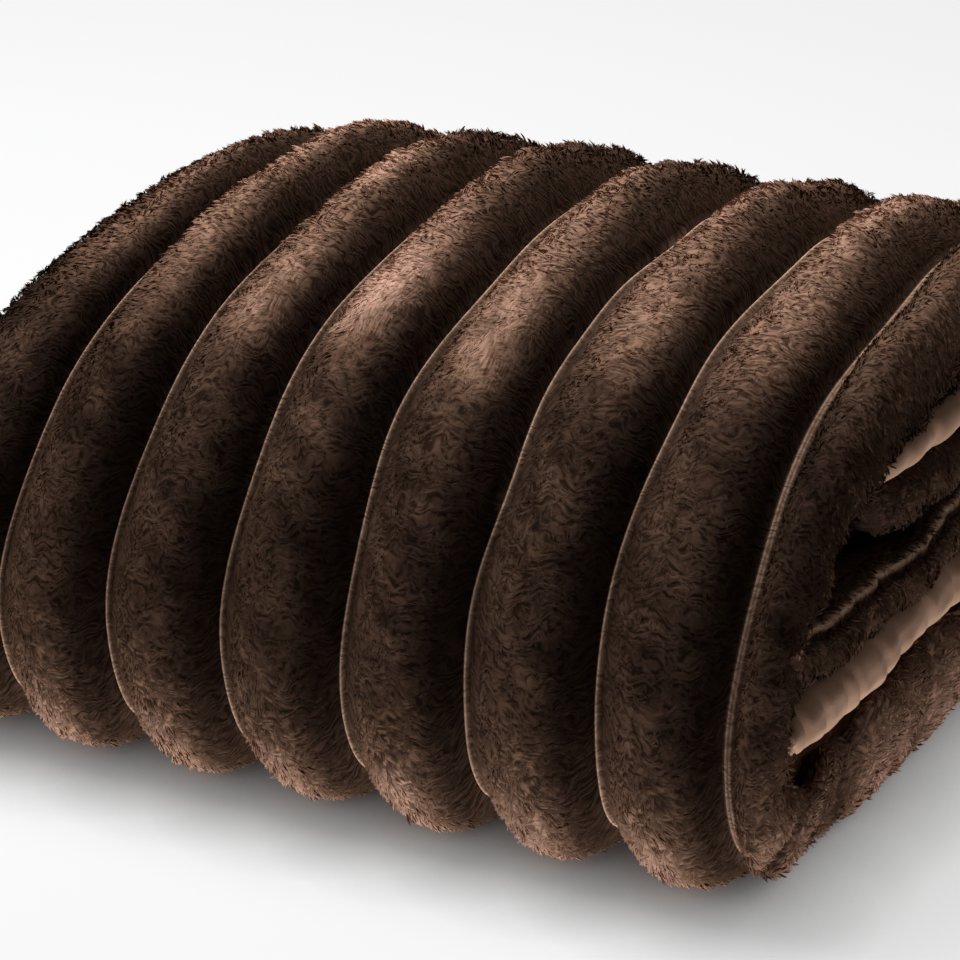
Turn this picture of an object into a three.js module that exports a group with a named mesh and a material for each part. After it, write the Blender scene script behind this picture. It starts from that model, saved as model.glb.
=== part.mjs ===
// Ribbed fleece throw, folded into a loaf-shaped stack.
// The throw is two cloths of one size: a deep-pile face with padded ribs, and a smooth backing.
// It is folded in thirds across its ribs, then in half and in half again along them, so the
// stack has four passes of three layers, bent round one front turn and one back turn. The top
// hangs down behind, so that the back turn lies on the floor.
// Millimetres, +Z up. X runs along the stack, across the ribs, and the rounded front faces -Y.
// The origin is the middle of the footprint, on the surface that the stack rests on.

import * as THREE from 'three';

// Ribs, across the stack
const RIB_PITCH = 53; // from one seam to the next
const LAST_SEAM_X = 177; // the seam beside the narrow edge strip, at the right end
// Ribs from the left fold to the last seam: height as a share of their pass's rib height
const RIB_SHARES = [0.9, 1, 0.97, 1.03, 1, 0.98, 1.02];
const RIB_SHAPE = [
  { across: 0.8, height: 0.8 },
  { across: 0.5, height: 1 },
  { across: 0.2, height: 0.8 },
];
// The narrow strip outside the last seam, from its hem: height in ribs, and share of the curl
const EDGE_STRIP_SHAPE = [
  { across: 1, height: 0.2, bent: 1 },
  { across: 0.78, height: 0.7, bent: 0.5 },
  { across: 0.42, height: 0.85, bent: 0 },
  { across: 0.14, height: 0.5, bent: 0 },
];

// Ends of the layers
const LEFT_FOLD = { x: -188, reach: 24, steps: 3 }; // ribbed face outside, closes the left end
const LEFT_HEM_X = -182; // long edge of the innermost layer, inside the left fold
const HEM_ROUND = 3; // rounding of the long edges
const RIGHT_FOLD = { squash: 0.8, steps: 4 }; // smooth backing outside
const MIDDLE_X = [20, -40, -75, -105, -130, -152]; // sections of the flat stretches of each layer

// Cloth thicknesses, between the ribs
const GROUND = 1.6; // ribbed face, measured at a seam
const BACKING = 1.3; // smooth backing
const SEWN_GAP = 0.6; // between the face and its own backing
const LAYER_GAP = 1.2; // between layers that lie on each other
const EDGE_BEND_MIN = 14; // least width of the bend along the long edge

// Fold line: the curve between the outer and the inner passes, seen from the right end
const FLOOR_PASS = { z: 56, y: [84, 10, -64] }; // sections of its level stretch
const FRONT_TURN = { y: -106, z: 100, radius: 44, from: -90, to: -255, steps: 9 };
const TOP_PASS = [
  { y: -82, z: 152 },
  { y: -45, z: 161.5 },
  { y: -5, z: 167 },
  { y: 24, z: 166.5 },
  { y: 54, z: 159 },
  { y: 82, z: 149 },
  { y: 107, z: 136 },
  { y: 127, z: 121.5 },
  { y: 143, z: 103 },
  { y: 153, z: 78 },
  { y: 158, z: 44 },
];
const BACK_TURN_STEPS = 8;

// Seam line: the curve that the outer seams follow, measured on the right end
const SEAM_LINE = [
  { y: 120, z: 13 },
  { y: 30, z: 13 },
  { y: -60, z: 13 },
  { y: -138, z: 13 },
  { y: -163, z: 17.5 },
  { y: -177, z: 29 },
  { y: -186, z: 52 },
  { y: -188, z: 80 },
  { y: -180, z: 108 },
  { y: -163, z: 135 },
  { y: -140, z: 157 },
  { y: -106, z: 175 },
  { y: -65, z: 187 },
  { y: -21, z: 194 },
  { y: 20, z: 195.5 },
  { y: 60, z: 187 },
  { y: 93, z: 175.5 },
  { y: 120, z: 162 },
  { y: 145, z: 144 },
  { y: 166, z: 120 },
  { y: 181, z: 90 },
  { y: 188, z: 58 },
  { y: 188, z: 20 },
];
const SEAM_LINE_SAMPLES = 400;

// Sizes along the path that the cloth takes through the stack, from one short edge to the other.
// The path's legs are the floor pass from 0, the front turn from 1, the top pass from 2, the
// back turn from 3, and the inner top, front and floor from 4, 5 and 6. The sizes change
// smoothly from one row to the next.
// at: place along the path, in legs
// seam: distance from the fold line to the seams; the outer legs take theirs from SEAM_LINE
// rib: height of a rib over its seams
// hem: x of the throw's long edge
// tip: x of the smooth fold at the right end
// curl: how far the long edge bends in towards the fold line
const PATH = [
  { at: 0.5, seam: 43, rib: 23, hem: 203, tip: 184, curl: 12 },
  { at: 1.1, seam: 36, rib: 20, hem: 195, tip: 177, curl: 13 },
  { at: 1.5, seam: 33, rib: 19, hem: 204, tip: 178, curl: 13 },
  { at: 2.5, seam: 28, rib: 19, hem: 206, tip: 187, curl: 10 },
  { at: 3.3, seam: 25, rib: 17, hem: 206, tip: 188, curl: 6 },
  { at: 4.1, seam: 25, rib: 13, hem: 205, tip: 200, curl: 0 },
  { at: 4.45, seam: 25, rib: 13, hem: 204, tip: 202, curl: 0 },
  { at: 4.7, seam: 34, rib: 17, hem: 203, tip: 204, curl: 0 },
  { at: 5.5, seam: 24, rib: 10, hem: 196, tip: 182, curl: 0 },
  { at: 6.4, seam: 33, rib: 14, hem: 205, tip: 207, curl: 0 },
  { at: 6.9, seam: 31, rib: 12, hem: 205, tip: 206, curl: 0 },
];
const PATH_LEGS = 7;
const FRONT_TURN_LEG = 1; // where the front turn starts along the path
const TOP_PASS_LEG = 2;
const BACK_TURN_LEG = 3;
const BACK_TURN_SEAM = 25; // distance of the seams from the fold line at the end of that turn

// Slump of the soft left end, as a share of the height there
const SLUMP = { from: 20, to: -212, share: 0.2, power: 5 };
// Lean of the left ribs, which were drawn in to the right towards the top: the full reach is at
// the left end and at the height `top`
const LEAN = { from: 45, to: -212, reach: 40, power: 2, top: 215, rise: 1.3 };

const FACE_LOOK = { color: 0x46332b, roughness: 0.95 };
const BACKING_LOOK = { color: 0x8f6f58, roughness: 0.8 };

/** x of seam k, counted from 1 at the left end. */
function seamX(k) {
  return LAST_SEAM_X - RIB_PITCH * (RIB_SHARES.length - k);
}

/** The fold line's points, from the free short edges round the front turn to the back turn. */
function foldLine() {
  const points = FLOOR_PASS.y.map((y, i) => ({
    at: new THREE.Vector2(y, FLOOR_PASS.z),
    along: i / FLOOR_PASS.y.length,
  }));
  for (let i = 0; i <= FRONT_TURN.steps; i += 1) {
    const share = i / FRONT_TURN.steps;
    const angle = THREE.MathUtils.degToRad(THREE.MathUtils.lerp(FRONT_TURN.from, FRONT_TURN.to, share));
    const spoke = new THREE.Vector2(Math.cos(angle), Math.sin(angle)).multiplyScalar(FRONT_TURN.radius);
    const centre = new THREE.Vector2(FRONT_TURN.y, FRONT_TURN.z);
    points.push({ at: spoke.add(centre), along: FRONT_TURN_LEG + share });
  }
  TOP_PASS.forEach((row, i) => {
    points.push({ at: new THREE.Vector2(row.y, row.z), along: TOP_PASS_LEG + (i + 1) / TOP_PASS.length });
  });
  return points;
}

/** Outward normal of the fold line at point i, square to the line through its neighbours. */
function outwardNormal(points, i) {
  const before = points[Math.max(i - 1, 0)].at;
  const after = points[Math.min(i + 1, points.length - 1)].at;
  const along = after.clone().sub(before).normalize();
  return new THREE.Vector2(-along.y, along.x);
}

/** The seam line as a fine polyline. */
function seamLine() {
  const curve = new THREE.SplineCurve(SEAM_LINE.map((row) => new THREE.Vector2(row.y, row.z)));
  return curve.getPoints(SEAM_LINE_SAMPLES);
}

/** Distance from a point of the fold line, along its normal, to the seam line. */
function distanceToSeamLine(at, out, line) {
  let nearest = Infinity;
  for (let i = 0; i < line.length - 1; i += 1) {
    const edge = line[i + 1].clone().sub(line[i]);
    const toEdge = line[i].clone().sub(at);
    const spread = out.cross(edge);
    const distance = toEdge.cross(edge) / spread;
    const share = toEdge.cross(out) / spread;
    if (distance > 0 && share >= 0 && share <= 1) {
      nearest = Math.min(nearest, distance);
    }
  }
  return nearest;
}

/** A column of PATH at a place along the path. */
function pathValue(column, along) {
  const before = PATH.findLast((row) => row.at <= along) ?? PATH[0];
  const after = PATH.find((row) => row.at > along) ?? PATH[PATH.length - 1];
  const share = THREE.MathUtils.smoothstep(along, before.at, after.at);
  return THREE.MathUtils.lerp(before[column], after[column], share);
}

/** One section of the path: its point of the fold line, its direction and its sizes. */
function section(at, out, along) {
  const sizes = { at, out };
  for (const column of ['seam', 'rib', 'hem', 'tip', 'curl']) {
    sizes[column] = pathValue(column, along);
  }
  return sizes;
}

/** All sections: out along the fold line, round its end in a fan, and back on its other side. */
function allSections() {
  const points = foldLine();
  const line = seamLine();
  const outer = points.map((point, i) => {
    const out = outwardNormal(points, i);
    const sizes = section(point.at, out, point.along);
    sizes.seam = distanceToSeamLine(point.at, out, line);
    return sizes;
  });
  const last = outer[outer.length - 1];
  const fan = [];
  for (let i = 1; i < BACK_TURN_STEPS; i += 1) {
    const share = i / BACK_TURN_STEPS;
    const out = last.out.clone().rotateAround(new THREE.Vector2(), -Math.PI * share);
    const turned = section(last.at, out, BACK_TURN_LEG + share);
    turned.seam = THREE.MathUtils.lerp(last.seam, BACK_TURN_SEAM, share);
    fan.push(turned);
  }
  const inner = points.map((point, i) => {
    return section(point.at, outwardNormal(points, i).negate(), PATH_LEGS - point.along);
  });
  return [...outer, ...fan, ...inner.reverse()];
}

/**
 * Heights of every cloth surface over the fold line at one section. c is the innermost layer, b
 * the middle one and a the outermost. The pile of c and that of b share what the cloths and the
 * gaps leave of the height of the seams.
 */
function levels(sizes) {
  const cloths = 3 * (BACKING + SEWN_GAP) + GROUND;
  const gaps = LAYER_GAP / 2 + 2 * LAYER_GAP;
  const pile = (sizes.seam - cloths - gaps) / 2;
  const cBack = LAYER_GAP / 2;
  const cGround = cBack + BACKING + SEWN_GAP;
  const cPile = cGround + pile;
  const bPile = cPile + LAYER_GAP;
  const bGround = bPile + pile;
  const bBack = bGround + SEWN_GAP + BACKING;
  const aBack = bBack + LAYER_GAP;
  const aGround = aBack + BACKING + SEWN_GAP;
  return {
    pile,
    cBack,
    cGround,
    cPile,
    bPile,
    bGround,
    bBack,
    aBack,
    aGround,
    aSeam: sizes.seam,
    leftFold: (bBack + aBack) / 2,
    rightFold: (cPile + bPile) / 2,
  };
}

/** Points of an ellipse about (x, n), from one angle to another, in degrees. */
function arc(x, n, reach, rise, from, to, steps) {
  const points = [];
  for (let i = 0; i <= steps; i += 1) {
    const angle = THREE.MathUtils.degToRad(THREE.MathUtils.lerp(from, to, i / steps));
    points.push({ x: x + reach * Math.cos(angle), n: n + rise * Math.sin(angle) });
  }
  return points;
}

/** A layer's flat stretch at height n, sectioned at MIDDLE_X. */
function flatToLeft(n) {
  return MIDDLE_X.map((x) => ({ x, n }));
}

function flatToRight(n) {
  return flatToLeft(n).reverse();
}

/** Points round the smooth fold at the right end, on the surface that lies `radius` out. */
function rightFoldArc(sizes, heights, radius, from, to) {
  const outermost = LAYER_GAP / 2 + heights.pile + SEWN_GAP + BACKING;
  const centre = sizes.tip - RIGHT_FOLD.squash * outermost;
  const reach = RIGHT_FOLD.squash * radius;
  return arc(centre, heights.rightFold, reach, radius, from, to, RIGHT_FOLD.steps);
}

/** x where the outermost layer's long edge starts to bend in, past the smooth fold. */
function bendStart(sizes) {
  return Math.min(sizes.tip + 1, sizes.hem - EDGE_BEND_MIN);
}

/** Cross-section of the ribbed face: edge strip, ribs, left fold, second and third layers. */
function faceProfile(sizes) {
  const h = levels(sizes);
  const width = sizes.hem - LAST_SEAM_X;
  const points = [{ x: sizes.hem - HEM_ROUND, n: h.aGround - sizes.curl }];
  for (const row of EDGE_STRIP_SHAPE) {
    const n = h.aSeam + sizes.rib * row.height - sizes.curl * row.bent;
    points.push({ x: LAST_SEAM_X + width * row.across, n });
  }
  for (let k = RIB_SHARES.length; k >= 1; k -= 1) {
    const height = sizes.rib * RIB_SHARES[k - 1];
    points.push({ x: seamX(k), n: h.aSeam });
    for (const row of RIB_SHAPE) {
      points.push({ x: seamX(k - 1) + RIB_PITCH * row.across, n: h.aSeam + height * row.height });
    }
  }
  const crest = h.aSeam + sizes.rib * RIB_SHARES[0] * RIB_SHAPE[2].height;
  const { x: foldX, reach, steps } = LEFT_FOLD;
  const hemMiddle = (h.cPile + h.cGround) / 2;
  const inside = LAYER_GAP / 2 + BACKING + SEWN_GAP;
  points.push(
    ...arc(foldX, h.leftFold, reach, crest - h.leftFold, 120, 180, steps - 1),
    ...arc(foldX, h.leftFold, reach, h.leftFold - h.bPile, 210, 270, steps - 1),
    ...flatToRight(h.bPile),
    ...rightFoldArc(sizes, h, LAYER_GAP / 2, 90, -90),
    ...flatToLeft(h.cPile),
    { x: LEFT_HEM_X + HEM_ROUND, n: h.cPile },
    { x: LEFT_HEM_X, n: hemMiddle },
    { x: LEFT_HEM_X + HEM_ROUND, n: h.cGround },
    ...flatToRight(h.cGround),
    ...rightFoldArc(sizes, h, LAYER_GAP / 2 + h.pile, -90, 90),
    ...flatToLeft(h.bGround),
    ...arc(foldX, h.leftFold, inside, inside, 270, 90, steps),
    ...flatToRight(h.aGround),
    { x: bendStart(sizes), n: h.aGround },
  );
  return points;
}

/** Cross-section of the smooth backing, on the reverse of all three layers. */
function backingProfile(sizes) {
  const h = levels(sizes);
  const edge = sizes.hem - HEM_ROUND;
  const inside = LAYER_GAP / 2;
  const outside = LAYER_GAP / 2 + h.pile + SEWN_GAP;
  const { x: foldX, steps } = LEFT_FOLD;
  return [
    { x: edge, n: h.aBack + BACKING - sizes.curl },
    { x: bendStart(sizes), n: h.aBack + BACKING },
    ...flatToLeft(h.aBack + BACKING),
    ...arc(foldX, h.leftFold, inside + BACKING, inside + BACKING, 90, 270, steps),
    ...flatToRight(h.bBack - BACKING),
    ...rightFoldArc(sizes, h, outside, 90, -90),
    ...flatToLeft(h.cBack + BACKING),
    { x: LEFT_HEM_X + HEM_ROUND, n: h.cBack + BACKING },
    { x: LEFT_HEM_X + HEM_ROUND, n: h.cBack },
    ...flatToRight(h.cBack),
    ...rightFoldArc(sizes, h, outside + BACKING, -90, 90),
    ...flatToLeft(h.bBack),
    ...arc(foldX, h.leftFold, inside, inside, 270, 90, steps),
    ...flatToRight(h.aBack),
    { x: bendStart(sizes), n: h.aBack },
    { x: edge, n: h.aBack - sizes.curl },
  ];
}

/** How far x is past the start of the slump or the lean, as a share of their stretch. */
function pastStart(x, { from, to }) {
  return THREE.MathUtils.clamp((from - x) / (from - to), 0, 1);
}

/** Height of a profile point over the floor, with the slump, before it is flattened there. */
function height(sizes, { x, n }) {
  const slump = SLUMP.share * pastStart(x, SLUMP) ** SLUMP.power;
  return (sizes.at.y + n * sizes.out.y) * (1 - slump);
}

/** x of a profile point with the lean, which grows with the height z. */
function leantX(x, z) {
  const share = pastStart(x, LEAN) ** LEAN.power;
  return x + LEAN.reach * share * (Math.max(z, 0) / LEAN.top) ** LEAN.rise;
}

/** Place of a profile point: out from the fold line, and flattened on the floor. */
function place(sizes, point) {
  const z = height(sizes, point);
  return [leantX(point.x, z), sizes.at.x + point.n * sizes.out.x, Math.max(z, 0)];
}

/** Outline of the cap on an end section, which is upright. */
function capOutline(sizes, points) {
  return points.map((point) => {
    const z = height(sizes, point);
    return new THREE.Vector2(leantX(point.x, z), sizes.out.y * z);
  });
}

/** Closed mesh of a profile carried through every section, with a flat cap at each end. */
function carried(name, profile, look) {
  const sections = allSections();
  const profiles = sections.map(profile);
  const count = profiles[0].length;
  const positions = sections.flatMap((sizes, i) => profiles[i].flatMap((point) => place(sizes, point)));
  const index = [];
  for (let i = 0; i < sections.length - 1; i += 1) {
    for (let j = 0; j < count; j += 1) {
      const a = i * count + j;
      const b = i * count + ((j + 1) % count);
      // both sides of a gap are split along the same diagonal, so that they stay parallel
      if (positions[3 * a] < positions[3 * b]) {
        index.push(a, b + count, b, a, a + count, b + count);
      } else {
        index.push(a, a + count, b, b, a + count, b + count);
      }
    }
  }
  const last = sections.length - 1;
  const firstOutline = capOutline(sections[0], profiles[0]);
  const lastOutline = capOutline(sections[last], profiles[last]);
  for (const [a, b, c] of THREE.ShapeUtils.triangulateShape(firstOutline, [])) {
    index.push(a, b, c);
  }
  for (const [a, b, c] of THREE.ShapeUtils.triangulateShape(lastOutline, [])) {
    index.push(last * count + c, last * count + b, last * count + a);
  }
  const geometry = new THREE.BufferGeometry();
  geometry.setAttribute('position', new THREE.Float32BufferAttribute(positions, 3));
  geometry.setIndex(index);
  geometry.computeVertexNormals();
  const material = new THREE.MeshStandardMaterial({ ...look, metalness: 0 });
  const mesh = new THREE.Mesh(geometry, material);
  mesh.name = name;
  return mesh;
}

const throwStack = new THREE.Group();
throwStack.add(carried('ribbed_face', faceProfile, FACE_LOOK));
throwStack.add(carried('smooth_backing', backingProfile, BACKING_LOOK));

const box = new THREE.Box3().setFromObject(throwStack);
throwStack.position.set(-(box.min.x + box.max.x) / 2, -(box.min.y + box.max.y) / 2, 0);

export default throwStack;
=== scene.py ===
"""Ribbed fleece throw, folded into a loaf-shaped stack.

Lengths are millimetres in the part's own frame and turn to metres where a mesh is made. X runs
along the stack and across the ribs, the rounded front faces -Y and Z is up.

The cloth is worked out in a strip frame: x across the ribs, n outwards from the fold line that
lies between the outer and the inner passes, and `leg`, the place along the cloth's path. The legs
are the floor pass from 0, the front turn from 1, the top pass from 2, the back turn from 3, and
the inner top, front and floor from 4, 5 and 6.
"""

import bmesh
import bpy
import numpy as np
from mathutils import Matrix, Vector


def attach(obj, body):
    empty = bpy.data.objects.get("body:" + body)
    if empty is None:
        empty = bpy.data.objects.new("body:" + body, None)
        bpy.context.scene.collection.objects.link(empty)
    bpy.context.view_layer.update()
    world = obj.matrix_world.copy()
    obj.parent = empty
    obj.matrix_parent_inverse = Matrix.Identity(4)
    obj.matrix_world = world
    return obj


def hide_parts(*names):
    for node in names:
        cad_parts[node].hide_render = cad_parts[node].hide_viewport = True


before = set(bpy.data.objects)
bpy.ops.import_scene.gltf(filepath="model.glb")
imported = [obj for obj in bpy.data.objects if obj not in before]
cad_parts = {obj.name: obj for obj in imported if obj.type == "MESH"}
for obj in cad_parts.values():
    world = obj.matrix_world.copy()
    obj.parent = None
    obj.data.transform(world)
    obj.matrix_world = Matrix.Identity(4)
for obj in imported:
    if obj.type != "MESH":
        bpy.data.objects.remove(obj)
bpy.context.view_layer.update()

MM = 0.001
BODY = "root"

# Camera and the photograph's frame
CAMERA_AT = (652.3, -1290.5, 646.3)
CAMERA_TO = (140.2, -310.5, 211.0)
FRAME_PIXELS = 960
FOCAL_PIXELS = 3701
SENSOR_MM = 36

# Ribs across the stack
RIB_PITCH = 53
LAST_SEAM_X = 177
RIB_SHARES = (0.9, 1, 0.97, 1.03, 1, 0.98, 1.02)  # height of ribs A to G
PILE_LIFT = 1.7  # how far the locks stand over the depth of the pile on a crest
CREST_AT = 0.56  # place of the crest across a rib, so the right flank is the steeper
# Powers that round the right flank: full and steep at its foot on the front, rounder on the roof
FRONT_ROUND = (2.6, 0.6)
ROOF_ROUND = (1.9, 0.95)
ROOF_FROM, ROOF_FULL = 2.1, 2.4  # legs between which the front turns to roof
SEAM_HALF = (1.5,) * 7 + (2.3,)  # half width of the short-piled strip on seams 0 to 7
CREASE_HIGH = 0.9
# Height and size of waves: of a rib's height along it, of its surface, and of a seam's line
RIB_SWELL = (0.05, 90)
RIB_LUMPS = (0.6, 26)
SEAM_WOBBLE = (0.9, 130)
SEAM_PILE = 0.28  # length of the pile beside a seam, as a share of the full length
ROOF_PILE_CUT = 0.2  # and what the roof takes off it, so that the notches show
# Shares of a rib's width over which the pile starts on the left, and gets full from either side
PILE_STARTS = (0.08, 0.2)
PILE_FULL_LEFT, PILE_FULL_RIGHT = (0.1, 0.42), (0, 0.34)
# Across a seam strip: share of its half width, height of the creases, and paleness. Seven seams
# have one crisp crease with a brown band on its right, the last has two creases
SEAM_STRIP = (
    (1.0, 0.0, 0.02), (0.6, 0.15, 0.08), (0.2, 0.5, 0.22), (-0.05, 0.9, 0.75),
    (-0.2, 1.0, 1.0), (-0.4, 0.8, 0.6), (-0.6, 0.4, 0.1), (-1.0, 0.0, 0.0),
)
LAST_SEAM_STRIP = (
    (1.0, 0.0, 0.02), (0.66, 0.3, 0.10), (0.38, 1.0, 0.42), (0.05, 0.55, 0.2),
    (-0.3, 1.0, 0.62), (-0.6, 0.3, 0.12), (-1.0, 0.0, 0.02),
)

# Ends of the layers
LEFT_FOLD_X = -188
LEFT_FOLD_REACH = 21
LEFT_HEM_X = -182
LEFT_CREST = 0.9  # height at which rib A goes over into the left fold, as a share of its crest
LEFT_RIB_COLUMNS = 8  # columns of rib A before that
MIDDLE_X = (150, 60, -60, -150)  # columns of the flat layers
HEM_ROUND = 3
RIGHT_SQUASH = 0.8
GROUND = 1.6
BACKING = 1.3
SEWN_GAP = 0.6
LAYER_GAP = 1.2

# Fold line
FLOOR_Z = 56
FLOOR_LEGS, FLOOR_YS = (0, 1 / 3, 2 / 3, 1), (84, 10, -64, -106)
FRONT_TURN = {"y": -106, "z": 100, "radius": 44, "from": -90, "to": -255}
TOP_PASS = (
    (-82, 152), (-45, 161.5), (-5, 167), (24, 166.5), (54, 159), (82, 149), (107, 136),
    (127, 121.5), (143, 103), (153, 78), (158, 44),
)
BACK_TURN_SEAM = 25
FINE_STEPS = 160  # of the fold line's table, on the floor and on the front turn
TOP_STEPS = 24  # to each span of its top pass
SEAM_LINE_STEPS = 20
TANGENT_BLUR = 7  # table rows over which the direction of the fold line is averaged

# Curve of the outer seams, as y and z
SEAM_LINE = (
    (120, 13), (30, 13), (-60, 13), (-138, 13), (-163, 17.5), (-177, 29), (-186, 52),
    (-188, 80), (-180, 108), (-163, 135), (-140, 157), (-106, 175), (-65, 187), (-21, 194),
    (20, 195.5), (60, 187), (93, 175.5), (120, 162), (145, 144), (166, 120), (181, 90),
    (188, 58), (188, 20),
)

# Sizes along the path. seam: distance from the fold line to the seams, of the inner legs; rib:
# height of a rib; hem: x of the long edge; tip: x of the smooth fold at the right end; reach: how
# far the long edge curls in
PATH_COLUMNS = ("leg", "seam", "rib", "hem", "tip", "reach")
PATH = (
    (0.0, 43, 23, 201, 182, 46),
    (0.85, 43, 22, 199, 180, 46),
    (1.1, 33, 17, 192, 176, 40),
    (1.25, 33, 17, 195, 172, 24),
    (1.36, 33, 19, 198, 154, 6),
    (1.60, 33, 19, 201, 146, -4),
    (1.70, 33, 19, 202, 148, 2),
    (1.85, 31, 19, 202, 152, 5),
    (2.05, 29, 19, 203, 176, 17),
    (2.27, 28, 19, 204, 184, 26),
    (2.55, 28, 19, 205, 186, 26),
    (3.3, 25, 17, 205, 188, 22),
    (4.1, 25, 13, 204, 199, 14),
    (4.5, 26, 13, 204, 200, 14),
    (4.62, 28, 13, 180, 172, 2),
    (5.5, 24, 10, 172, 164, 2),
    (6.4, 30, 12, 176, 168, 2),
    (6.75, 30, 12, 180, 172, 2),
    (6.85, 30, 12, 203, 199, 10),
    (7.0, 30, 12, 203, 199, 10),
)

# Edge strip outside the last seam: across as a share of its width, up in ribs, in in reaches, and
# the same where the strip leaves the floor, where it rounds up sooner
EDGE_STRIP = (
    (0.12, 0.30, 0.0, 0.0), (0.32, 0.66, 0.0, 0.02), (0.56, 0.80, 0.0, 0.22), (0.80, 0.64, 0.0, 0.48),
    (0.96, 0.32, 0.18, 0.72), (1.0, 0.10, 0.5, 0.88), (0.97, -0.06, 0.82, 0.97), (0.86, -0.2, 1.0, 1.0),
    (0.74, -0.28, 0.93, 0.93), (0.74, -0.22, 0.6, 0.6), (0.68, -0.12, 0.25, 0.25),
)
EDGE_STEPS = 3
STRIP_INSIDE = 0.6  # where the reverse of the strip starts, as a share of its width
STRIP_OFF_FLOOR = (1.3, 1.45)  # legs between which the puckers end
STRIP_RISES = (1.15, 1.42)  # legs between which the strip takes its second shape
STRIP_FLATTER = 0.4  # share of its height that the strip loses near the floor
STRIP_WIDENS, STRIP_SWELLS = (0.035, 46), (0.06, 70)  # height and size of waves
UNEVEN_MM, UNEVEN_SIZE = 2.2, 38  # wave of the reach
UNEVEN_FROM = (3, 12)  # reaches between which it sets in

# Slump of the soft left end, and lean of its ribs, which are drawn in to the right at the top
SLUMP = {"from": 20, "to": -212, "share": 0.14, "power": 5}
LEAN = {"from": 45, "to": -212, "reach": 40, "power": 2, "top": 215, "rise": 1.3}

# Rows of sections along each leg of the path
LEG_ROWS = (44, 84, 110, 22, 34, 14, 16)
RIPPLE_WAVES = 7


def smooth(t):
    """Smoothstep of t clipped to 0..1."""
    t = np.clip(t, 0, 1)
    return t * t * (3 - 2 * t)


def between(low, high, t):
    """0 below low, 1 above high, and smooth in between."""
    return smooth((np.asarray(t, float) - low) / (high - low))


def bump_at(t, centre, half):
    """A soft hill of height 1 about the centre: exp of minus the squared distance in halves."""
    return np.exp(-(((np.asarray(t, float) - centre) / half) ** 2))


def through(points, steps):
    """Uniform Catmull-Rom curve through points (..., count, dimensions), steps to each span."""
    p = np.asarray(points, float)
    p = np.concatenate([2 * p[..., :1, :] - p[..., 1:2, :], p, 2 * p[..., -1:, :] - p[..., -2:-1, :]], -2)
    t = (np.arange(steps) / steps)[:, None]
    count = p.shape[-2] - 3
    a, b, c, d = (p[..., i : i + count, None, :] for i in range(4))
    squared, cubed = (2 * a - 5 * b + 4 * c - d) * t**2, (3 * b - a - 3 * c + d) * t**3
    curve = 0.5 * (2 * b + (c - a) * t + squared + cubed)
    curve = curve.reshape(*p.shape[:-2], count * steps, p.shape[-1])
    return np.concatenate([curve, p[..., -2:-1, :]], -2)


def ripple(size, seed, *place):
    """Smooth unevenness in about -1..1: a sum of plane waves of the place, about `size` long."""
    rng = np.random.default_rng(seed)
    total = 0
    for _ in range(RIPPLE_WAVES):
        heading = unit(rng.normal(size=len(place)))
        pace = 2 * np.pi / (size * rng.uniform(0.6, 1.6))
        phase = rng.uniform(0, 2 * np.pi)
        total = total + np.sin(sum(c * v for c, v in zip(place, heading)) * pace + phase)
    return total / np.sqrt(RIPPLE_WAVES)


def wave(row, seed, *place):
    """A ripple from a row of its height and its size."""
    return row[0] * ripple(row[1], seed, *place)


def unit(v):
    return v / np.maximum(np.linalg.norm(v, axis=-1, keepdims=True), 1e-9)


def on_turn(angle):
    """y and z of the front turn at an angle in radians."""
    radius = FRONT_TURN["radius"]
    return FRONT_TURN["y"] + radius * np.cos(angle), FRONT_TURN["z"] + radius * np.sin(angle)


def fold_line():
    """Fine table of the fold line: leg, y and z, over a level run, an arc and a spline."""
    share = np.linspace(0, 1, FINE_STEPS, endpoint=False)
    floor = np.stack([share, np.interp(share, FLOOR_LEGS, FLOOR_YS), np.full(FINE_STEPS, FLOOR_Z)], -1)
    angle = np.radians(FRONT_TURN["from"] + (FRONT_TURN["to"] - FRONT_TURN["from"]) * share)
    turn = np.stack([1 + share, *on_turn(angle)], -1)
    top = through((on_turn(np.radians(FRONT_TURN["to"])),) + TOP_PASS, TOP_STEPS)
    top = np.column_stack([np.linspace(2, 3, len(top)), top])
    return np.vstack([floor, turn, top])


def ray_to_seam_line(at, out):
    """Distance from points along their directions to the curve of the outer seams."""
    line = through(SEAM_LINE, SEAM_LINE_STEPS)
    a, e = line[:-1], np.diff(line, axis=0)
    rel = a[None] - at[:, None]
    cross = lambda v, w: v[..., 0] * w[..., 1] - v[..., 1] * w[..., 0]
    spread = cross(out[:, None], e[None])
    spread = np.where(np.abs(spread) < 1e-9, 1e-9, spread)
    far = cross(rel, e[None]) / spread
    share = cross(rel, out[:, None]) / spread
    hit = (far > 0) & (share >= 0) & (share <= 1)
    return np.where(hit, far, np.inf).min(1)


def path_value(column, leg):
    """A column of PATH at places along the path, smooth from row to row."""
    at = np.array([row[0] for row in PATH])
    value = np.array([row[PATH_COLUMNS.index(column)] for row in PATH], float)
    i = np.clip(np.searchsorted(at, leg, "right") - 1, 0, len(at) - 2)
    t = smooth((leg - at[i]) / (at[i + 1] - at[i]))
    return value[i] + (value[i + 1] - value[i]) * t


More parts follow.
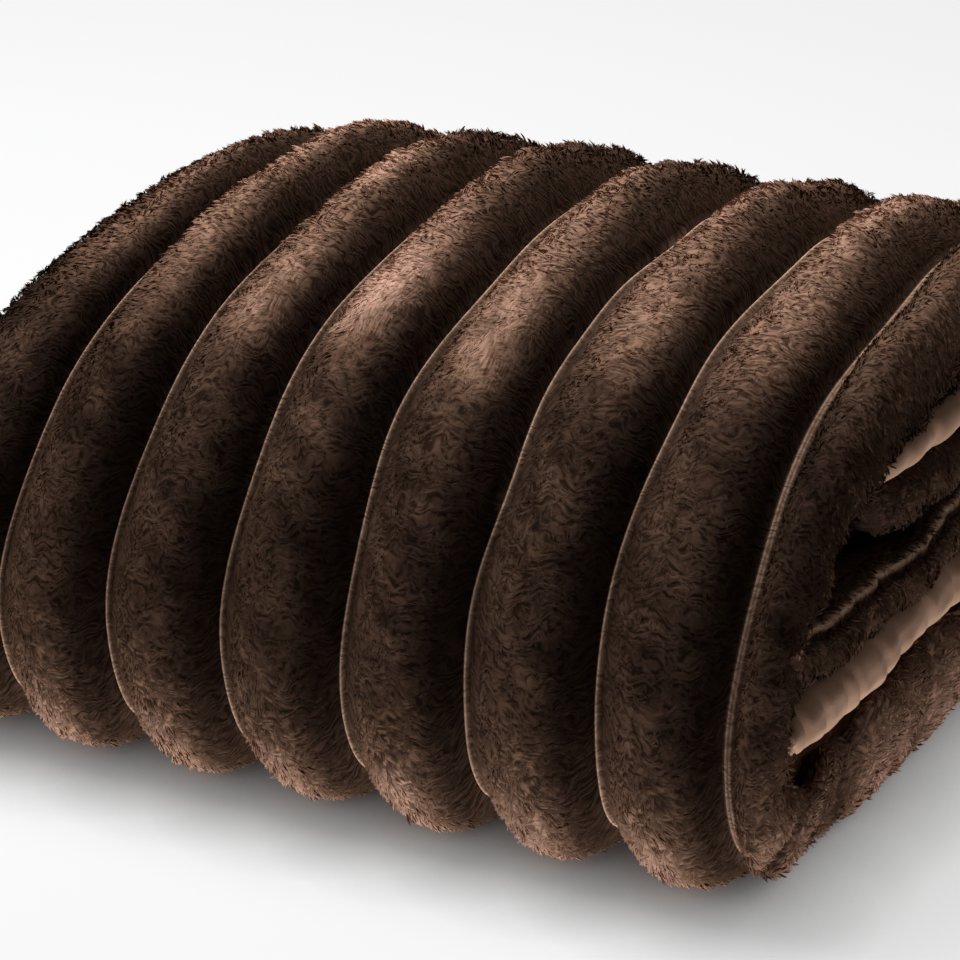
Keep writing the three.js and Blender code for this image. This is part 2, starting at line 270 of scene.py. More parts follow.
def sections():
    """All sections of the path as a dict of arrays: leg, at, out and the sizes of PATH.

    The sections run out along the fold line, round its end in a fan, and back on its other side.
    """
    table = fold_line()
    tangent = unit(np.gradient(table[:, 1:], axis=0))
    kernel = np.ones(TANGENT_BLUR) / TANGENT_BLUR
    for k in (0, 1):
        padded = np.pad(tangent[:, k], TANGENT_BLUR // 2, "edge")
        tangent[:, k] = np.convolve(padded, kernel, "valid")
    tangent = unit(tangent)
    out = np.stack([-tangent[:, 1], tangent[:, 0]], -1)

    def on_line(leg):
        pick = lambda v: np.stack([np.interp(leg, table[:, 0], v[:, k]) for k in (0, 1)], -1)
        return pick(table[:, 1:]), unit(pick(out))

    stations = lambda i: np.linspace(i, i + 1, LEG_ROWS[i], endpoint=False)
    outer = np.concatenate([stations(i) for i in (0, 1, 2)])
    at_o, out_o = on_line(outer)
    seam_o = ray_to_seam_line(at_o, out_o)
    fan = stations(3)
    last_at, last_out = on_line(np.array([3.0]))
    last_seam = ray_to_seam_line(last_at, last_out)[0]
    turn = -np.pi * (fan - 3)
    turned = np.stack([
        last_out[0, 0] * np.cos(turn) - last_out[0, 1] * np.sin(turn),
        last_out[0, 0] * np.sin(turn) + last_out[0, 1] * np.cos(turn)], -1)
    inner = np.concatenate([stations(i) for i in (4, 5, 6)] + [[7.0]])
    at_i, out_i = on_line(7 - inner)
    leg = np.concatenate([outer, fan, inner])
    s = {
        "leg": leg,
        "at": np.vstack([at_o, np.repeat(last_at, len(fan), 0), at_i]),
        "out": np.vstack([out_o, turned, -out_i]),
    }
    for column in PATH_COLUMNS[1:]:
        s[column] = path_value(column, leg)
    fan_seam = last_seam + (BACK_TURN_SEAM - last_seam) * (fan - 3)
    s["seam"] = np.concatenate([seam_o, fan_seam, s["seam"][len(outer) + len(fan):]])
    step = np.linalg.norm(np.diff(s["at"] + s["out"] * s["seam"][:, None], axis=0), axis=1)
    s["run"] = np.concatenate([[0], np.cumsum(step)])
    return s


def levels(s):
    """Heights of every cloth surface over the fold line, from c, the innermost, to a."""
    cloths = 3 * (BACKING + SEWN_GAP) + GROUND
    gaps = LAYER_GAP / 2 + 2 * LAYER_GAP
    h = {"pile": (s["seam"] - cloths - gaps) / 2, "a_seam": s["seam"]}
    h["c_back"] = np.full_like(s["seam"], LAYER_GAP / 2)
    h["c_ground"] = h["c_back"] + BACKING + SEWN_GAP
    h["c_pile"] = h["c_ground"] + h["pile"]
    h["b_pile"] = h["c_pile"] + LAYER_GAP
    h["b_ground"] = h["b_pile"] + h["pile"]
    h["b_back"] = h["b_ground"] + SEWN_GAP + BACKING
    h["a_back"] = h["b_back"] + LAYER_GAP
    h["a_ground"] = h["a_back"] + BACKING + SEWN_GAP
    h["left_fold"] = (h["b_back"] + h["a_back"]) / 2
    h["right_fold"] = (h["c_pile"] + h["b_pile"]) / 2
    return h


def columns(x, n, pile=0, seam=0):
    """Stacks them into (rows, points, 4), spreading what is the same all over."""
    return np.stack(np.broadcast_arrays(*[np.asarray(v, float) for v in (x, n, pile, seam)]), -1)


def ellipse(x, n, reach, rise, start, end, steps, pile=0):
    """Points (rows, steps, 4) of an ellipse about (x, n), from one angle to another in degrees."""
    angle = np.radians(np.linspace(start, end, steps))[None]
    by_row = lambda v: np.broadcast_to(np.asarray(v, float), (ROWS,))[:, None]
    x, n, reach, rise = by_row(x), by_row(n), by_row(reach), by_row(rise)
    return columns(x + reach * np.cos(angle), n + rise * np.sin(angle), pile)


def level_run(n, xs):
    """Points (rows, len(xs), 4) of a layer's flat stretch at height n."""
    return columns(np.asarray(xs, float)[None], n[:, None])


def right_fold(s, h, radius, start, end, steps):
    """Points round the smooth fold at the right end, on the surface that lies `radius` out."""
    outermost = LAYER_GAP / 2 + h["pile"] + SEWN_GAP + BACKING
    centre = s["tip"] - RIGHT_SQUASH * outermost
    return ellipse(centre, h["right_fold"], RIGHT_SQUASH * radius, radius, start, end, steps)


# Shares of a rib's width at which it is sampled, close together beside the seams
RIB_SAMPLES = (0.97, 0.92, 0.86, 0.79, 0.71, 0.62, 0.53, 0.44, 0.35, 0.27, 0.19, 0.12, 0.06)


def seam_strip(s, h, k):
    """Columns of the short-piled strip on seam k: pale creases on a flat band."""
    x = seam_x(k) + seam_wobble(k, s["run"])
    across, crease, pale = np.array(LAST_SEAM_STRIP if k == len(RIB_SHARES) else SEAM_STRIP).T
    x = x[:, None] + across[None] * SEAM_HALF[k]
    return columns(x, h["a_seam"][:, None] + CREASE_HIGH * crease[None], 0, pale[None])


def rib_height(u, on_roof):
    """Height of a rib at the share u of its width, 0 to 1.

    Left of the crest 1 - (1 - u / c) ** 2, gentle; right of it (1 - (1 - t) ** a) ** b with
    t = (1 - u) / (1 - c), steep on the front and rounder on the roof.
    """
    left = 1 - (1 - np.clip(u / CREST_AT, 0, 1)) ** 2
    t = np.clip((1 - u) / (1 - CREST_AT), 0, 1)
    a, b = (front + (roof - front) * on_roof for front, roof in zip(FRONT_ROUND, ROOF_ROUND))
    right = (1 - (1 - t) ** a) ** b
    return np.where(u < CREST_AT, left, right)


def rib_run(s, h, k):
    """The rib on the left of seam k, between the strips of its two seams."""
    run = s["run"][:, None]
    right = seam_x(k) + seam_wobble(k, run) - SEAM_HALF[k]
    left = seam_x(k - 1) + seam_wobble(k - 1, run) + SEAM_HALF[k - 1]
    swell = 1 + wave(RIB_SWELL, 40 + k, run)
    rib = (s["rib"] * RIB_SHARES[k - 1] - PILE_LIFT)[:, None] * swell
    u = np.array(RIB_SAMPLES)[None]
    on_roof = between(ROOF_FROM, ROOF_FULL, s["leg"])[:, None]
    high = rib_height(u, on_roof)
    x = left + (right - left) * u
    lumps = wave(RIB_LUMPS, 60 + k, run, x) * high
    shortest = SEAM_PILE - ROOF_PILE_CUT * on_roof
    full = (1 - shortest) * between(*PILE_FULL_LEFT, u) * between(*PILE_FULL_RIGHT, 1 - u)
    pile = shortest * between(*PILE_STARTS, u) + full
    return columns(x, h["a_seam"][:, None] + rib * high + lumps, pile)


def seam_x(k):
    """x of seam k, counted from 1 at the left end."""
    return LAST_SEAM_X - RIB_PITCH * (len(RIB_SHARES) - k)


def seam_wobble(k, run):
    """How far seam k strays from its straight line, in mm."""
    return wave(SEAM_WOBBLE, 20 + k, run)


# Puckers of the long edge: y, half width, how far it is drawn in, and how much less it curls in
PUCKERS = (
    (-171, 5, 9, 0), (-131, 7, 13, 12), (-108, 12, 5, 14), (-38, 7, 11, 6), (22, 8, 8, 4),
    (84, 10, 9, 6), (142, 8, 7, 4),
)
PUCKER_CORE = 0.8  # share of a pucker's width that has painted shade and short pile
# Painted shade in the puckers, as a share of the tone, and how much shorter the pile is there
PUCKER_DARKER, PUCKER_SHORTER = 0.75, 0.6


def edge_strip(s, h):
    """The narrow roll outside the last seam, which curls in to its hem, puckered along the floor.

    Control points are shares of the strip's width, rib height and reach, joined by a spline.
    """
    run = s["run"]
    drawn, drop = np.zeros_like(run), np.zeros_like(run)
    on_floor = 1 - between(*STRIP_OFF_FLOOR, s["leg"])
    low = 1 - between(*STRIP_RISES, s["leg"])
    place_y = s["at"][:, 0] + s["out"][:, 0] * s["seam"]
    for y, half, inward, less in PUCKERS:
        hill = bump_at(place_y, y, half) * on_floor
        drawn, drop = drawn + inward * hill, drop + less * hill
    uneven = ripple(UNEVEN_SIZE, 91, run)
    last = len(RIB_SHARES)
    left = LAST_SEAM_X + seam_wobble(last, run) + SEAM_HALF[last]
    width = (s["hem"] - left) * (1 + wave(STRIP_WIDENS, 92, run))
    reach = s["reach"] - drop + between(*UNEVEN_FROM, s["reach"]) * UNEVEN_MM * uneven
    rib = s["rib"] * (1 + wave(STRIP_SWELLS, 93, run)) - 0.5 * PILE_LIFT
    points = [np.stack([left, h["a_seam"]], -1)]
    for across, up, inward, from_floor in EDGE_STRIP:
        x = left + width * across - drawn * between(0.3, 0.95, across)
        drawn_in = inward + (from_floor - inward) * low
        n = h["a_seam"] + rib * up * (1 - STRIP_FLATTER * low) - reach * drawn_in
        points.append(np.stack([x, n], -1))
    curve = through(np.stack(points, 1), EDGE_STEPS)[:, 1:]
    share = np.linspace(0, 1, curve.shape[1])
    pile = (0.35 + 0.65 * between(0.02, 0.25, share)) * (1 - between(0.84, 0.92, share))
    return columns(curve[..., 0], curve[..., 1], pile[None])[:, ::-1]


def pucker_shade(s, x):
    """How deep in a pucker of the long edge a place is, 0 to 1, on the strip along the floor."""
    place_y = s["at"][:, 0] + s["out"][:, 0] * s["seam"]
    depth = sum(bump_at(place_y, y, PUCKER_CORE * half) for y, half, _, _ in PUCKERS)
    depth = depth * (1 - between(*STRIP_OFF_FLOOR, s["leg"]))
    return np.clip(depth, 0, 1)[:, None] * between(LAST_SEAM_X + 3, LAST_SEAM_X + 10, x)


def face_profile(s, h):
    """Closed loop of the ribbed face: edge strip, ribs, left fold, second and third layers.

    Also gives the number of its columns that are on the outside of the stack.
    """
    inside = LAYER_GAP / 2 + BACKING + SEWN_GAP
    crest = h["a_seam"] + (s["rib"] * RIB_SHARES[0] - PILE_LIFT) * LEFT_CREST
    top = crest - h["left_fold"]
    low = h["left_fold"] - h["b_pile"]
    outside = [edge_strip(s, h)]
    for k in range(len(RIB_SHARES), 0, -1):
        outside += [seam_strip(s, h, k), rib_run(s, h, k)]
    outside[-1] = outside[-1][:, :LEFT_RIB_COLUMNS]
    outside.append(ellipse(LEFT_FOLD_X, h["left_fold"], LEFT_FOLD_REACH, top, 112, 180, 10, 1))
    outside.append(ellipse(LEFT_FOLD_X, h["left_fold"], LEFT_FOLD_REACH, low, 190, 270, 8, 0.9))
    outside = np.concatenate(outside, 1)
    hem = np.array([HEM_ROUND, 0, HEM_ROUND])
    hem_n = np.stack([h["c_pile"], (h["c_pile"] + h["c_ground"]) / 2, h["c_ground"]], 1)
    rear = (s["hem"] - LAST_SEAM_X) * STRIP_INSIDE + LAST_SEAM_X
    loop = np.concatenate([
        outside,
        level_run(h["b_pile"], MIDDLE_X[::-1]),
        right_fold(s, h, LAYER_GAP / 2, 90, -90, 5),
        level_run(h["c_pile"], MIDDLE_X),
        columns(LEFT_HEM_X + hem[None], hem_n),
        level_run(h["c_ground"], MIDDLE_X[::-1]),
        right_fold(s, h, LAYER_GAP / 2 + h["pile"], -90, 90, 10),
        level_run(h["b_ground"], MIDDLE_X),
        ellipse(LEFT_FOLD_X, h["left_fold"], inside, inside, 270, 90, 4),
        level_run(h["a_ground"], MIDDLE_X[::-1]),
        columns(rear[:, None], h["a_ground"][:, None]),
    ], 1)
    return loop, outside.shape[1]


def backing_profile(s, h):
    """Closed loop of the smooth backing, on the reverse of all three layers."""
    near, far = LAYER_GAP / 2, LAYER_GAP / 2 + h["pile"] + SEWN_GAP
    edge = (s["hem"] - LAST_SEAM_X) * STRIP_INSIDE + LAST_SEAM_X - 1
    left = np.full_like(edge, LEFT_HEM_X + HEM_ROUND)
    point = lambda x, n: columns(x[:, None], n[:, None])
    return np.concatenate([
        point(edge, h["a_back"] + BACKING),
        level_run(h["a_back"] + BACKING, MIDDLE_X),
        ellipse(LEFT_FOLD_X, h["left_fold"], near + BACKING, near + BACKING, 90, 270, 5),
        level_run(h["b_back"] - BACKING, MIDDLE_X[::-1]),
        right_fold(s, h, far, 90, -90, 14),
        level_run(h["c_back"] + BACKING, MIDDLE_X),
        point(left, h["c_back"] + BACKING),
        point(left, h["c_back"]),
        level_run(h["c_back"], MIDDLE_X[::-1]),
        right_fold(s, h, far + BACKING, -90, 90, 14),
        level_run(h["b_back"], MIDDLE_X),
        ellipse(LEFT_FOLD_X, h["left_fold"], near, near, 270, 90, 5),
        level_run(h["a_back"], MIDDLE_X[::-1]),
        point(edge, h["a_back"]),
    ], 1)


def past_start(x, row):
    """How far x is past the start of the slump or the lean, as a share of their stretch."""
    return np.clip((row["from"] - x) / (row["from"] - row["to"]), 0, 1) ** row["power"]


def place(s, x, n):
    """Points (rows, columns, 3): out from the fold line, and flat on the floor.

    The height is cut by the slump, and x grows by the lean times (z / top) ** rise.
    """
    y = s["at"][:, None, 0] + n * s["out"][:, None, 0]
    z = np.maximum(s["at"][:, None, 1] + n * s["out"][:, None, 1], 0)
    z = z * (1 - SLUMP["share"] * past_start(x, SLUMP))
    x = x + LEAN["reach"] * past_start(x, LEAN) * (z / LEAN["top"]) ** LEAN["rise"]
    return np.stack([x, y, z], -1)


def put(name, data):
    """A new object of that data, in the scene."""
    thing = bpy.data.objects.new(name, data)
    bpy.context.scene.collection.objects.link(thing)
    return thing


def make_object(name, points, faces, material, attributes=None, normals=None):
    """A mesh piece from arrays of points in mm and of faces with the same number of corners."""
    mesh = bpy.data.meshes.new(name)
    corners = faces.shape[1]
    mesh.vertices.add(len(points))
    mesh.vertices.foreach_set("co", (points * MM).astype(np.float32).ravel())
    mesh.loops.add(faces.size)
    mesh.loops.foreach_set("vertex_index", faces.astype(np.int32).ravel())
    mesh.polygons.add(len(faces))
    mesh.polygons.foreach_set("loop_start", np.arange(0, faces.size, corners, dtype=np.int32))
    mesh.polygons.foreach_set("use_smooth", np.ones(len(faces), bool))
    for key, value in (attributes or {}).items():
        layer = mesh.attributes.new(key, "FLOAT", "POINT")
        layer.data.foreach_set("value", value.astype(np.float32).ravel())
    mesh.update(calc_edges=True)
    if normals is not None:
        mesh.normals_split_custom_set_from_vertices(normals)
    piece = put(name, mesh)
    piece.data.materials.append(material)
    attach(piece, BODY)
    return piece


def loop_faces(rows, count):
    """Quads of a closed loop of points carried through rows."""
    i, j = np.meshgrid(np.arange(rows - 1), np.arange(count), indexing="ij")
    a, b = i * count + j, i * count + (j + 1) % count
    return np.stack([a, a + count, b + count, b], -1).reshape(-1, 4)


def end_cap(mesh_piece):
    """Closes the open ends of a carried loop with flat faces."""
    work = bmesh.new()
    work.from_mesh(mesh_piece.data)
    rim = [e for e in work.edges if e.is_boundary]
    bmesh.ops.holes_fill(work, edges=rim, sides=0)
    bmesh.ops.triangulate(work, faces=[f for f in work.faces if len(f.verts) > 4])
    bmesh.ops.recalc_face_normals(work, faces=work.faces)
    work.to_mesh(mesh_piece.data)
    work.free()


def swept(name, points, material, attributes=None):
    """A loop of points (rows, columns, 3) carried through its rows, with closed ends."""
    rows, count = points.shape[:2]
    piece = make_object(name, points.reshape(-1, 3), loop_faces(rows, count), material, attributes)
    end_cap(piece)
    return piece


def colour(hex_value):
    """An sRGB hex colour as linear red, green, blue and alpha."""
    parts = [int(hex_value[i : i + 2], 16) / 255 for i in (1, 3, 5)]
    return tuple(c / 12.92 if c <= 0.04045 else ((c + 0.055) / 1.055) ** 2.4 for c in parts) + (1.0,)


def add(tree, kind, settings=None, **links):
    """Adds a node. settings are properties or socket values, links are sockets by name."""
    node = tree.nodes.new(kind)
    for key, value in (settings or {}).items():
        if hasattr(node, key) and key not in node.inputs:
            setattr(node, key, value)
        else:
            node.inputs[key].default_value = value
    for key, source in links.items():
        tree.links.new(source, node.inputs[int(key[1:]) if key[0] == "_" else key.replace("_", " ")])
    return node


def ramp(tree, source, stops):
    """A colour ramp with stops of (place, hex colour)."""
    node = add(tree, "ShaderNodeValToRGB", None, _0=source)
    elements = node.color_ramp.elements
    while len(elements) < len(stops):
        elements.new(0.5)
    for element, (at, value) in zip(elements, stops):
        element.position, element.color = at, colour(value)
    return node.outputs["Color"]


def new_material(name):
    material = bpy.data.materials.new(name)
    material.use_nodes = True
    material.node_tree.nodes.clear()
    return material, material.node_tree


def attribute(tree, name):
    return add(tree, "ShaderNodeAttribute", {"attribute_name": name}).outputs["Fac"]


def pile_colour(tree, share):
    """Colour of the pile: dark at the roots, painted shade of the pile's depth, paler and a little pink at
    the tips, by its tone.
    """
    tone = attribute(tree, "pile_tone")
    root = ramp(tree, tone, ((0.0, "#080504"), (0.3, "#35271f"), (1.0, "#9c7866")))
    tip = ramp(tree, tone, ((0.0, "#150e0b"), (0.3, "#705545"), (0.65, "#ae8b7a"), (1.0, "#dcbdad")))
    return add(tree, "ShaderNodeMix", {"data_type": "RGBA"}, _0=share, _6=root, _7=tip).outputs[2]


# Surfaces of the plush pile and of the short nap of the backing
PLUSH = {
    "Roughness": 0.9, "Specular IOR Level": 0.0, "Sheen Weight": 0.06, "Sheen Roughness": 0.5,
    "Sheen Tint": colour("#c89878"),
}
SHORT_NAP = {
    "Roughness": 0.85, "Specular IOR Level": 0.1, "Sheen Weight": 0.2, "Sheen Roughness": 0.5,
    "Sheen Tint": colour("#d8b9a2"),
}


def surface(tree, settings, **links):
    """The material's shader, with those settings and links, and its output."""
    shader = add(tree, "ShaderNodeBsdfPrincipled", settings, **links)
    add(tree, "ShaderNodeOutputMaterial", None, Surface=shader.outputs[0])


def polyester_plush_pile():
    """Brushed and sheared polyester pile: matt, soft strands that glow a little at their tips."""
    material, tree = new_material("polyester_plush_pile")
    surface(tree, PLUSH, Base_Color=pile_colour(tree, attribute(tree, "pile_height")))
    return material


CLOUDS_PER_MM = 0.09  # scale of the clouds that bend the strokes of the pile
TUFTS = (5.0, 1.7, 14)  # size across and along the ribs, and how far the clouds bend them
COMBED = (1.3, 8.0, 8)


def strokes(tree, wide, long, twist):
    """Noise in strokes of those sizes in mm, on the cloth's own across and along, bent by clouds."""
    across, along = attribute(tree, "across"), attribute(tree, "along")
    on_cloth = add(tree, "ShaderNodeCombineXYZ", None, X=across, Y=along).outputs[0]
    clouds = add(tree, "ShaderNodeTexNoise", {"Scale": CLOUDS_PER_MM, "Detail": 1.0}, Vector=on_cloth)
    bent = add(tree, "ShaderNodeVectorMath", {"operation": "MULTIPLY_ADD"},
               _0=clouds.outputs["Color"], _2=on_cloth)
    bent.inputs[1].default_value = (twist, twist, 0)
    scaled = add(tree, "ShaderNodeMapping", {"Scale": (1 / wide, 1 / long, 1)}, Vector=bent.outputs[0])
    return add(tree, "ShaderNodeTexNoise", {"Scale": 1.0, "Detail": 1.6, "Roughness": 0.5},
               Vector=scaled.outputs[0]).outputs["Fac"]


def polyester_pile_ground():
    """The depth of the pile, close under its tips, and the short pile along the pinched seams.

    Tufts 1.7 mm wide lie across the ribs, and 1.3 mm strokes run along them where the nap is
    brushed flat. The knitted ground itself shows only as the pale creases.
    """
    material, tree = new_material("polyester_pile_ground")
    tufts, combed = strokes(tree, *TUFTS), strokes(tree, *COMBED)
    flat = attribute(tree, "brushed")
    fur = add(tree, "ShaderNodeMix", {"data_type": "FLOAT"}, _0=flat, _2=tufts, _3=combed)
    share = ramp(tree, fur.outputs[0], ((0.39, "#000000"), (0.59, "#ffffff")))
    pile = pile_colour(tree, share)
    crease = ramp(tree, tufts, ((0.3, "#94725d"), (0.7, "#c7a48c")))
    mix = add(tree, "ShaderNodeMix", {"data_type": "RGBA"}, _0=attribute(tree, "seam"), _6=pile, _7=crease)
    bump = add(tree, "ShaderNodeBump", {"Strength": 0.7, "Distance": 0.0018}, Height=fur.outputs[0])
    surface(tree, PLUSH, Base_Color=mix.outputs[2], Normal=bump.outputs[0])
    return material


def brushed_polyester_backing():
    """Short-napped knit backing: warm light brown, with a soft bloom where the nap is stroked."""
    material, tree = new_material("brushed_polyester_backing")
    place_m = add(tree, "ShaderNodeTexCoord").outputs["Object"]
    cloud = add(tree, "ShaderNodeTexNoise", {"Scale": 45.0, "Detail": 4.0}, Vector=place_m)
    nap = add(tree, "ShaderNodeTexNoise", {"Scale": 900.0, "Detail": 2.0}, Vector=place_m)
    base = ramp(tree, cloud.outputs["Fac"], ((0.3, "#866651"), (0.7, "#a27f69")))
    bump = add(tree, "ShaderNodeBump", {"Strength": 0.35, "Distance": 0.0004}, Height=nap.outputs["Fac"])
    surface(tree, SHORT_NAP, Base_Color=base, Normal=bump.outputs[0])
    return material


PILE = polyester_plush_pile()
GROUND_PILE = polyester_pile_ground()
SMOOTH = brushed_polyester_backing()

# Pile, in mm: clumps of narrow locks, each lock one long triangle
CLUMPS_PER_MM2 = 0.205
LOCKS_PER_CLUMP = 7
PILE_LENGTH = 4.6
LOCK_WIDTH = 0.26
CLUMP_RADIUS = 0.95
LOCK_BULGE_AT = 0.56  # place of the widest point along a lock
LOCK_BULGE_UP = 0.10  # how far that point stands up, as a share of the lock's length
LOCK_BULGE_SHADE = 0.78  # its place between the colour of the foot and of the tip
FOOT_SUNK = 0.4
BARE_BELOW = 0.08  # share of the full length under which nothing grows
SPARSE_TO = 0.4  # under which share of the full length clumps stand no closer
SWIRL = (1.2, 10)  # height in radians and size
SWIRL_SCATTER = 0.5
SWIRL_CALMED = 0.75  # share of the swirl that flat nap loses
CLUMP_LEAN, LEAN_SCATTER, LEAN_WHEN_FLAT = 60, 5, 14  # degrees from upright
TUFTING = (0.16, 6)  # height and size of a wave of the pile's length
CLUMP_LENGTHS = (0.8, 1.15)
CLUMP_SHADES = LOCK_SHADES = (0.85, 1.15)
LOCK_LENGTHS = (0.72, 1.1)
LOCK_WIDTHS = (0.65, 1.2)
NARROWEST = 0.5  # width of a short lock, as a share of a long one's
LOCK_ROLL = 0.22  # radians, either way
TIPS_APART, TIPS_WHEN_FLAT = 0.35, 0.5  # share of the feet's distance, and more in flat nap
TIP_SCATTER = 0.15
THINNEST = 0.2  # density under which locks get no wider
CLOTH_NORMAL, OWN_NORMAL = 0.8, 0.2  # shares of the two in a lock's shading
LOWEST_LOCK = 0.3


def grow_pile(name, grid, length, tone, nap, density, seed):
    """Pile on a grid of points (rows, columns, 3), as one piece of joined locks.

    Clumps stand at random, evenly by area times density, and lean along the nap, turned by a smooth
    swirl. A lock is the triangle foot, side, tip, with its side point LOCK_BULGE_AT along it, and the
    locks of a clump draw together towards their tips. Each is shaded mostly as the cloth under it
    and casts no shadow, which would be too hard: instead the shade between them is painted into their
    colour, dark at the roots. length is a share of the full pile, and the nap's length says how flat
    it is brushed.
    """
    rng = np.random.default_rng(seed)
    p00, p10, p01, p11 = grid[:-1, :-1], grid[1:, :-1], grid[:-1, 1:], grid[1:, 1:]
    area = np.linalg.norm(np.cross(p11 - p00, p10 - p01), axis=-1) / 2
    mean = lambda v: (v[:-1, :-1] + v[1:, :-1] + v[:-1, 1:] + v[1:, 1:]) / 4
    grown = mean(length)
    clumps = area * CLUMPS_PER_MM2 * mean(density) * (grown > BARE_BELOW)
    total = np.cumsum((clumps / np.maximum(grown, SPARSE_TO) ** 0.5).ravel())
    count = int(total[-1])
    cell = np.searchsorted(total, (np.arange(count) + rng.random(count)) * total[-1] / count)
    i, j = np.unravel_index(np.clip(cell, 0, len(total) - 1), area.shape)
    u, v = rng.random((2, count, 1))

    def at(field):
        field = field[..., None] if field.ndim == 2 else field
        low = field[i, j] * (1 - u) + field[i + 1, j] * u
        high = field[i, j + 1] * (1 - u) + field[i + 1, j + 1] * u
        return low * (1 - v) + high * v

    root, up, along = at(grid), unit(at(grid_normals(grid))), at(nap)
    along = along - up * (along * up).sum(-1, keepdims=True)
    flat = np.clip(np.linalg.norm(along, axis=-1, keepdims=True), 0, 1)
    heading = unit(along)
    aside = np.cross(up, heading)
    swirl = wave(SWIRL, seed, *root.T)[:, None] + rng.normal(0, SWIRL_SCATTER, (count, 1))
    swirl = swirl * (1 - SWIRL_CALMED * flat)
    direction = heading * np.cos(swirl) + aside * np.sin(swirl)
    lean = np.radians(rng.normal(CLUMP_LEAN, LEAN_SCATTER, (count, 1)) + LEAN_WHEN_FLAT * flat)
    tuft = 1 + wave(TUFTING, seed + 50, *root.T)[:, None]
    reach = at(length) * PILE_LENGTH * tuft * rng.uniform(*CLUMP_LENGTHS, (count, 1))
    axis = up * np.cos(lean) + direction * np.sin(lean)
    shade = at(tone) * rng.uniform(*CLUMP_SHADES, (count, 1))
    wide = 1 / np.sqrt(np.clip(at(density), THINNEST, 1))

    k = LOCKS_PER_CLUMP
    fields = (root, up, direction, axis, reach, shade, wide, flat)
    root, up, direction, axis, reach, shade, wide, flat = (np.repeat(f, k, 0) for f in fields)
    many = len(root)
    side = unit(np.cross(up, direction))
    ring = rng.uniform(0, 2 * np.pi, (many, 1))
    spread = CLUMP_RADIUS * wide * np.sqrt(rng.random((many, 1)))
    offset = spread * (np.cos(ring) * direction + np.sin(ring) * side)
    reach = reach * rng.uniform(*LOCK_LENGTHS, (many, 1))
    foot = root + offset - up * FOOT_SUNK
    apart = TIPS_APART + TIPS_WHEN_FLAT * flat
    tip = root + axis * reach + offset * apart + rng.normal(0, TIP_SCATTER, (many, 3))
    roll = rng.uniform(-LOCK_ROLL, LOCK_ROLL, (many, 1))
    across = unit(side * np.cos(roll) + np.cross(axis, side) * np.sin(roll)) * rng.choice([-1, 1], (many, 1))
    narrowed = np.clip(reach / PILE_LENGTH + 0.4, NARROWEST, 1)
    half = LOCK_WIDTH * wide * rng.uniform(*LOCK_WIDTHS, (many, 1)) * narrowed
    middle = foot + (tip - foot) * LOCK_BULGE_AT + up * reach * LOCK_BULGE_UP + across * half
    own = unit(np.cross(middle - foot, tip - foot))
    outward = np.sign((own * up).sum(-1, keepdims=True) + 1e-9)
    normal = unit(up * CLOTH_NORMAL + own * outward * OWN_NORMAL)
    swap = outward < 0
    second, third = np.where(swap, tip, middle), np.where(swap, middle, tip)
    points = np.stack([foot, second, third], 1).reshape(-1, 3)
    points[:, 2] = np.maximum(points[:, 2], LOWEST_LOCK)
    bulge, end = np.full(many, LOCK_BULGE_SHADE), np.ones(many)
    swapped = swap[:, 0]
    height = np.stack([np.zeros(many), np.where(swapped, end, bulge), np.where(swapped, bulge, end)], 1)
    shade = np.clip(shade[:, 0] * rng.uniform(*LOCK_SHADES, many), 0, 1)
    piece = make_object(
        name, points, np.arange(many * 3).reshape(-1, 3), PILE, normals=np.repeat(normal, 3, 0),
        attributes={"pile_height": height, "pile_tone": np.repeat(shade, 3)})
    piece.visible_shadow = False
    return piece


def grid_normals(grid):
    """Unit normals of a grid, from the cross product of its two directions."""
    return unit(np.cross(np.gradient(grid, axis=0), np.gradient(grid, axis=1)))


FRONT_TONE = 0.075
BIG_CLOUDS, SMALL_CLOUDS = (0.02, 60), (0.03, 16)  # tone and size
FLOOR_TONE, FLOOR_BAND = 0.42, (12, 42)  # painted bounce light from the floor, added near the floor: middle and half height
ROOF_TONE, ROOF_RISE = 0.27, (168, 205)  # painted light from above, added on the roof, over that rise in z
STRIP_TONE_CUT = 0.4  # painted shade: share that the edge strip loses above the floor
DARKEST_TONE = 0.02
FLANK_TONE = 0.12  # painted shade: tone on the right flank of a rib, as a share of that on its crest
FLANK_FALLS = (0.55, 0.88)  # shares of the pitch over which it falls
FLANK_SOONER, FLANK_LEGS = 0.14, (2.1, 2.35)  # how much sooner on the roof, and its legs

# Patches where the nap lies flat, and where a painted highlight of that tone is added to the pile: x and leg
# of the middle, half size in mm across and in leg along, and tone
NAP_AND_HIGHLIGHT_PATCHES = (
    (-58, 2.0, 14, 0.075, 0.24), (-62, 2.27, 11, 0.06, 0.22), (-7, 2.04, 15, 0.085, 0.33),
    (48, 2.0, 13, 0.085, 0.33), (44, 2.40, 12, 0.08, 0.12), (104, 2.06, 12, 0.07, 0.06),
    (158, 2.48, 15, 0.18, 0.60), (100, 2.42, 14, 0.14, 0.22), (-112, 2.54, 16, 0.18, 0.85),
    (-165, 2.5, 16, 0.16, 0.12), (-112, 2.02, 12, 0.06, 0.08),
)
LEG_LENGTH = 260  # mm, roughly that of a leg
RAGGED_X, RAGGED_LEG = (4, 16), (0.02, 18)  # height and size of the waves of their ragged edges


def brushed(x, leg):
    """How flat the nap is brushed, and the painted highlight added to the tone there: the sum of the listed
    patches, with ragged edges.
    """
    along = leg * LEG_LENGTH
    x = x + wave(RAGGED_X, 301, x, along)
    leg = leg + wave(RAGGED_LEG, 302, x, along)
    return sum(tone * bump_at(x, at_x, wide) * bump_at(leg, at_leg, long)
               for at_x, at_leg, wide, long, tone in NAP_AND_HIGHLIGHT_PATCHES)


